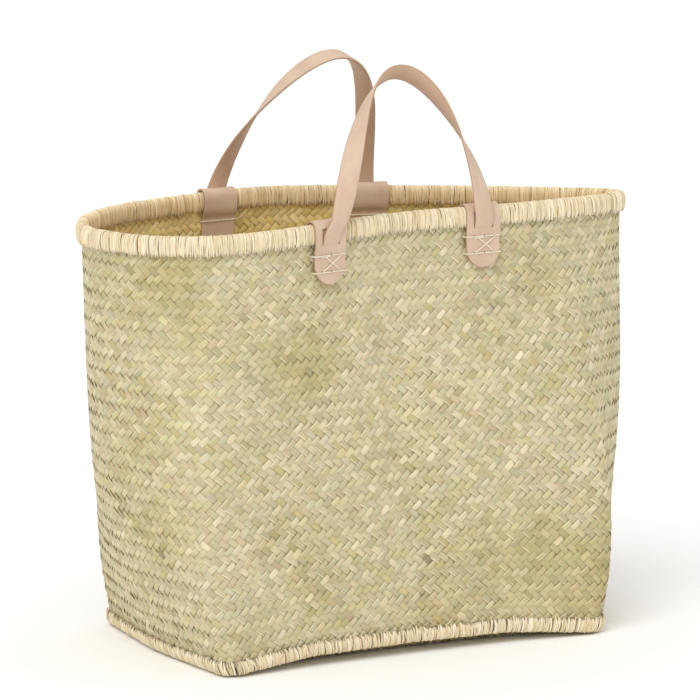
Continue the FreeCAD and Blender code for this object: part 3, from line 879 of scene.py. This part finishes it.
class Handle:
    """The strap of one handle: where its middle runs and how it turns."""

    def __init__(self, name):
        self.shape = HANDLES[name]
        self.side = self.shape["side"]
        self.spots = [Spot(*TAB_PLACES[f"{name}_{end}"]) for end in ("left", "right")]
        self.feet = [s.point(0, STRAP_STAND_OFF, -FOOT_BELOW_CREST) for s in self.spots]
        self.across = unit((self.feet[1] - self.feet[0]) * (1, 1, 0))
        self.out = np.array([-self.across[1], self.across[0], 0]) * self.side
        self.crest = max(s.crest[2] for s in self.spots)
        self.hinge_height = self.crest + HINGE_ABOVE_CREST
        self.first = self.share_at(self.hinge_height, True)
        self.last = self.share_at(self.hinge_height, False)

    def arch(self, share):
        """Return the strap's middle at shares of the way from the left foot to the right one."""
        share = np.asarray(share, float)[..., None]
        lift = self.shape["rise"] * 4 / 3
        shift = self.shape["shift"] * 4 / 3
        a, d = self.feet
        b = a + np.array([self.shape["pull"] + shift, 0, lift])
        c = d + np.array([shift - self.shape["pull"], 0, lift])
        rest = 1 - share
        p = a * rest ** 3 + b * (3 * rest ** 2 * share) + c * (3 * rest * share ** 2) + d * share ** 3
        apex = self.feet[0][2] + self.shape["rise"]
        climbed = np.clip((p[..., 2:] - self.crest) / (apex - self.crest), 0, None)
        return p - self.out * (self.shape["lean"] * climbed ** LEAN_POWER)

    def share_at(self, height, left):
        """Return the share at which one leg passes a height."""
        shares = np.linspace(0, 0.5, 2000) if left else np.linspace(1, 0.5, 2000)
        return np.interp(height, self.arch(shares)[:, 2], shares)

    def frames(self, shares):
        """Return the strap's middle, its width direction and its smooth face's normal."""
        middle = self.arch(shares)
        ahead = unit(self.arch(shares + 0.004) - self.arch(shares - 0.004))
        settled = eased(np.clip((middle[:, 2:] - self.hinge_height) / FOOT_SETTLES, 0, 1))
        upright = np.where(shares[:, None] < 0.5, 1.0, -1.0) * UP
        ahead = unit(upright * (1 - settled) + ahead * settled)
        foot = unit(self.out - ahead * (ahead @ self.out)[:, None])
        arch = np.cross(foot, ahead) * -self.side
        along = (shares - self.first) / (self.last - self.first)
        half_turn = np.pi * np.clip(along, 0, 1) ** self.shape["early"]
        swing = np.clip(np.sin(half_turn), 0, None) ** self.shape["quick"]
        angle = np.radians(self.shape["turn"]) * swing[:, None]
        smooth = foot * np.cos(angle) + arch * np.sin(angle)
        return middle, np.cross(ahead, smooth), smooth

    def tail(self, spot):
        """Return the sewn end's middle, width direction and normal, from its cut end up to the hinge."""
        flat = WEAVE_HALF + SEWN_CLEARANCE + STRAP_LEATHER / 2
        line = np.array([
            (flat + spot.lean(STRAP_END), STRAP_END), (flat + spot.lean(-0.034), -0.034),
            (flat + 0.0003 + spot.lean(-0.026), -0.026), (flat + 0.0022, -0.0215), (0.0074, -0.0172),
            (0.0092, -0.0130), (STRAP_STAND_OFF, -0.0080), (STRAP_STAND_OFF, -0.0030),
            (STRAP_STAND_OFF, self.hinge_height - spot.crest[2]),
        ])
        line = smooth_path(line, 46)
        slope = unit(np.gradient(line, axis=0))
        turned = np.clip((line[:, 1] + 0.010) / 0.010, 0, 1)[:, None]
        across = unit(spot.along * (1 - turned) + self.across * turned)
        out = np.column_stack([-across[:, 1], across[:, 0], np.zeros(len(line))]) * self.side
        normal = out * slope[:, 1:] - UP * slope[:, :1]
        middle = spot.point(0, line[:, 0], line[:, 1])
        swept = self.arch(self.share_at(middle[:, 2], spot is self.spots[0]))
        freed = eased(np.clip((line[:, 1] - LEAVES_SLIT) / (line[-1, 1] - LEAVES_SLIT), 0, 1)[:, None])
        return middle * (1 - freed) + swept * freed, across * -self.side, normal


# Section of a strap: shares of the half width and of the half thickness, smooth face first.
STRAP_SECTION = np.array([
    (-0.94, 1), (-0.5, 1.08), (0.5, 1.08), (0.94, 1), (1, 0.5), (1, -0.5), (0.94, -1), (-0.94, -1),
    (-1, -0.5), (-1, 0.5),
])
STRAP_CAP = np.array([(0, 1, 8, 9), (1, 2, 7, 8), (2, 3, 6, 7), (3, 4, 5, 6)])
STRAP_FACES = [FACE] * 4 + [EDGE, EDGE, SUEDE, EDGE, EDGE, EDGE]


def strap(name, handle, materials):
    """Return a whole strap: sewn end, out through the slit, the arch, and down again."""
    middle_left, across_left, normal_left = handle.tail(handle.spots[0])
    middle_right, across_right, normal_right = handle.tail(handle.spots[1])
    middle, across, normal = handle.frames(np.linspace(handle.first, handle.last, 170)[1:-1])
    flip_left = np.sign(across[0] @ across_left[-1])
    flip_right = np.sign(across[-1] @ across_right[-1])
    centres = np.vstack([middle_left, middle, middle_right[::-1]])
    across = np.vstack([across_left * flip_left, across, across_right[::-1] * flip_right])
    normal = np.vstack([normal_left, normal, normal_right[::-1]])
    x = STRAP_SECTION[:, 0] * STRAP_WIDTH / 2
    y = STRAP_SECTION[:, 1] * STRAP_LEATHER / 2
    points = centres[:, None] + across[:, None] * x[:, None] + normal[:, None] * y[:, None]
    quads = tube_quads(len(centres), len(x), STRAP_CAP)
    faces = STRAP_FACES * (len(centres) - 1) + [EDGE] * (2 * len(STRAP_CAP))
    return make_object(name, points.reshape(-1, 3), quads, materials, faces, sharp=60)


# ---- stitches

THREAD_RADIUS = 0.00062
THREAD_COLOUR = linear(244, 234, 212)
THREAD_SIDES = 8
THREAD_CAP = np.array([(0, 1, 2, 3), (0, 3, 4, 7), (4, 5, 6, 7)])
LOOSE_RADIUS = 0.0006
LOOSE_COLOUR = linear(236, 218, 170)
HOLE_RADIUS = 0.0008
HOLE_SHADE_COLOUR = linear(84, 58, 42)
STITCH_ROWS = {
    "front_left": (-0.0275, -0.0420), "front_right": (-0.0255, -0.0404),
    "back_left": (-0.0262, -0.0410), "back_right": (-0.0265, -0.0412),
}
STITCH_HOLES = (-0.0093, 0.0014, 0.0120)
SUNK = -0.0012  # height of a thread's middle above the leather, in a hole
# A stitch from hole to hole: share of the way, height of the thread's middle above the leather.
STITCH_RISE = [(0.0, SUNK), (0.06, 0.0003), (0.3, 0.0007), (0.7, 0.0007), (0.94, 0.0003), (1.0, SUNK)]


def tab_face(spot, height, outside):
    """Return the tab's outer surface at a height, outside the basket or inside it."""
    line = tab_line(spot)
    middle = len(line) // 2
    if outside:
        return np.interp(height, line[:middle, 1], line[:middle, 0]) + TAB_LEATHER
    return np.interp(height, line[middle:, 1][::-1], line[middle:, 0][::-1]) - TAB_LEATHER


def thread(pile, points, radius=THREAD_RADIUS, tint=THREAD_COLOUR):
    """Add a round thread along a route, a little thinner at both ends."""
    route = smooth_path(np.array(points), max(10, 5 * len(points)))
    ahead = unit(np.gradient(route, axis=0))
    side = unit(np.cross(ahead, np.array([0.31, 0.52, 0.79])))  # no thread runs this way
    other = np.cross(ahead, side)
    angles = 2 * np.pi * np.arange(THREAD_SIDES) / THREAD_SIDES
    ring = np.cos(angles)[:, None] * side[:, None] + np.sin(angles)[:, None] * other[:, None]
    step = np.arange(len(route))
    taper = np.minimum(1, np.minimum(step, step[::-1]) * 0.5 + 0.55)
    tube = route[:, None] + ring * (radius * taper)[:, None, None]
    strip = np.zeros((len(route), THREAD_SIDES, 3))
    strip[..., 0] = angles * radius
    strip[..., 1] = distances(route)[:, None]
    tints = np.tile([*tint, 1.0], (len(route) * THREAD_SIDES, 1))
    pile.append(tube, tube_quads(len(route), THREAD_SIDES, THREAD_CAP), strip, tints)


def stitch(pile, spot, start, end, outside):
    """Add one visible length of thread between two holes on a tab's surface."""
    sign = 1 if outside else -1
    route = []
    for share, lift in STITCH_RISE:
        along = start[0] + (end[0] - start[0]) * share
        height = start[1] + (end[1] - start[1]) * share
        face = tab_face(spot, height, outside)
        route.append(spot.point(along, face + sign * lift, height))
    thread(pile, route)


def edge_stitch(pile, spot, row, side):
    """Add the thread that wraps round the tab's side edge, from outside to inside."""
    half = TAB_WIDTH / 2
    outer = tab_face(spot, row, True)
    inner = tab_face(spot, row, False)
    near = STITCH_HOLES[0] if side < 0 else STITCH_HOLES[-1]
    route = [
        (near, outer + SUNK), (near + side * 0.0008, outer + 0.0005),
        (side * (half - 0.001), outer + 0.0008), (side * (half + 0.0009), outer - 0.0002),
        (side * (half + 0.0012), (outer + inner) / 2), (side * (half + 0.0009), inner + 0.0002),
        (side * (half - 0.001), inner - 0.0008), (near + side * 0.0008, inner - 0.0005),
        (near, inner - SUNK),
    ]
    thread(pile, [spot.point(a, n, row) for a, n in route])


def dark_hole(pile, spot, along, row):
    """Add a short dark thread as painted shade in the mouth of one stitch hole beside its thread."""
    face = tab_face(spot, row, True)
    place = spot.point(along, face, row + 0.0004)
    route = [place - spot.out * 0.0004, place, place + spot.out * 0.0003]
    thread(pile, route, HOLE_RADIUS, HOLE_SHADE_COLOUR)


def loose_end(pile, spot, row):
    """Add the knotless end of thread that curls up beside the tab inside the basket."""
    face = tab_face(spot, row, False)
    right = STITCH_HOLES[-1]
    route = [
        (right, row, -SUNK), (right + 0.003, row + 0.0004, -0.0008),
        (right + 0.0075, row + 0.0006, -0.0014), (right + 0.012, row + 0.0035, -0.0022),
        (right + 0.0150, row + 0.0080, -0.0032),
    ]
    thread(pile, [spot.point(a, face + n, z) for a, z, n in route], LOOSE_RADIUS, LOOSE_COLOUR)


def stitches(name, spot, rows, material):
    """Return a tab's thread: two rows, a cross between them and wraps round the tab's edges."""
    pile = Pile()
    for row in rows:
        for outside in (True, False):
            for a, b in zip(STITCH_HOLES, STITCH_HOLES[1:]):
                stitch(pile, spot, (a + 0.0004, row), (b - 0.0004, row), outside)
        for side in (-1, 1):
            edge_stitch(pile, spot, row, side)
    left, middle, right = STITCH_HOLES
    upper, lower = rows
    stitch(pile, spot, (left + 0.0040, upper - 0.0008), (right - 0.0020, lower + 0.0008), True)
    stitch(pile, spot, (right, upper - 0.0008), (left + 0.0015, lower + 0.0008), True)
    stitch(pile, spot, (left + 0.0002, upper - 0.0014), (middle - 0.0006, upper - 0.0008), True)
    for row in rows:
        for along in (left, middle):
            dark_hole(pile, spot, along, row)
    if name == "back_left_stitches":
        loose_end(pile, spot, upper)
    return pile.make(name, material)


# ---- assembly

def stand_for(node, slot, *pieces):
    """Put pieces that ride on the basket in place of one of its CAD nodes."""
    for obj in pieces:
        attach(obj, "basket")
    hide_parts(node)


def build_basket():
    """Make the wall, the base mat and both bindings, and finish the bundles inside them."""
    leaf = leaf_material()
    raffia = raffia_material()
    stand_for("woven_base", "seagrass", woven_base(leaf))
    stand_for("woven_wall", "seagrass", *woven_wall(leaf))
    rim_wraps = binding("rim_wraps", WALL_HEIGHT, RIM_PATH, RIM_LAYERS, 0.0007, 0.035, 31, raffia)
    stand_for("rim_binding", "raffia", *rim_wraps)
    base_wraps = binding("base_edge_wraps", 0, BASE_PATH, BASE_LAYERS, 0.0011, 0.07, 32, raffia)
    stand_for("base_edge_binding", "raffia", *base_wraps)
    bundle = core_material()
    for node in ("rim_core", "base_edge_core"):
        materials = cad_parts[node].data.materials
        materials.clear()
        materials.append(bundle)


def build_leather():
    """Make the tabs with their thread, and the straps."""
    leathers = [leather_material(), suede_material(), edge_material()]
    thread_finish = thread_material()
    for k, (name, spot_place) in enumerate(TAB_PLACES.items()):
        spot = Spot(*spot_place)
        stand_for(name + "_tab", "leather", tab(name + "_leather", spot, leathers, 40 + k))
        sewn = stitches(name + "_stitches", spot, STITCH_ROWS[name], thread_finish)
        stand_for(name + "_stitches", "thread", sewn)
    for name in HANDLES:
        handle = Handle(name)
        whole = strap(name + "_strap", handle, leathers)
        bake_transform(whole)
        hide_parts(name + "_handle_strap", name + "_left_strap_tail", name + "_right_strap_tail")


# ---- floor, light and camera

FLOOR_REACH = 30.0
SUN_FROM = Vector((-0.60, -0.50, 1.0))


def build_floor():
    """Make the plain pale floor."""
    mesh = bpy.data.meshes.new("floor")
    corners = [(x * FLOOR_REACH, y * FLOOR_REACH, 0) for x, y in ((-1, -1), (1, -1), (1, 1), (-1, 1))]
    mesh.from_pydata(corners, [], [(0, 1, 2, 3)])
    floor = add_to_scene("floor", mesh)
    m = Nodes("floor")
    m.set(m.shader, "Base Color", (0.99, 0.99, 0.99, 1))
    m.set(m.shader, "Roughness", 0.9)
    m.set(m.shader, "Specular IOR Level", 0.1)
    mesh.materials.append(m.material)


def build_light():
    """Make an even sky and one very wide lamp from the front left."""
    world = bpy.data.worlds.new("studio")
    world.use_nodes = True
    background = world.node_tree.nodes["Background"]
    background.inputs["Color"].default_value = (1.0, 0.995, 0.99, 1)
    background.inputs["Strength"].default_value = 0.80
    bpy.context.scene.world = world
    sun = bpy.data.lights.new("softbox", "SUN")
    sun.energy = 1.2
    sun.angle = math.radians(42)
    sun.color = (1.0, 0.99, 0.975)
    softbox = add_to_scene("softbox", sun)
    softbox.rotation_euler = SUN_FROM.to_track_quat("Z", "Y").to_euler()


CAMERA_TURN = math.radians(-27.4)  # round the basket, from straight in front
CAMERA_RISE = math.radians(11.1)
CAMERA_DISTANCE = 5.0
CAMERA_MIDDLE = Vector((0, 0, 0.190))  # the camera is placed round this point
AIM_LEFT = 0.0041  # and aims a little to its left and above it
AIM_ABOVE = 0.0623
PIXELS_PER_METRE = 1124  # at the basket's middle
IMAGE_PIXELS = 700
SENSOR = 36


def build_camera():
    """Make a camera that sees the basket as the photograph does."""
    level = math.cos(CAMERA_RISE)
    back = Vector((math.sin(CAMERA_TURN) * level, -math.cos(CAMERA_TURN) * level, math.sin(CAMERA_RISE)))
    right = Vector((math.cos(CAMERA_TURN), math.sin(CAMERA_TURN), 0))
    up = back.cross(right)
    position = CAMERA_MIDDLE + back * CAMERA_DISTANCE
    aim = CAMERA_MIDDLE - right * AIM_LEFT + up * AIM_ABOVE
    data = bpy.data.cameras.new("camera")
    data.sensor_width = SENSOR
    data.lens = PIXELS_PER_METRE * CAMERA_DISTANCE / IMAGE_PIXELS * SENSOR
    data.clip_end = 100
    camera = add_to_scene("camera", data)
    turn = (position - aim).to_track_quat("Z", "Y").to_matrix().to_4x4()
    camera.matrix_world = Matrix.Translation(position) @ turn
    bpy.context.scene.camera = camera


build_basket()
build_leather()
build_floor()
build_light()
build_camera()
bpy.context.scene.view_settings.view_transform = "Standard"
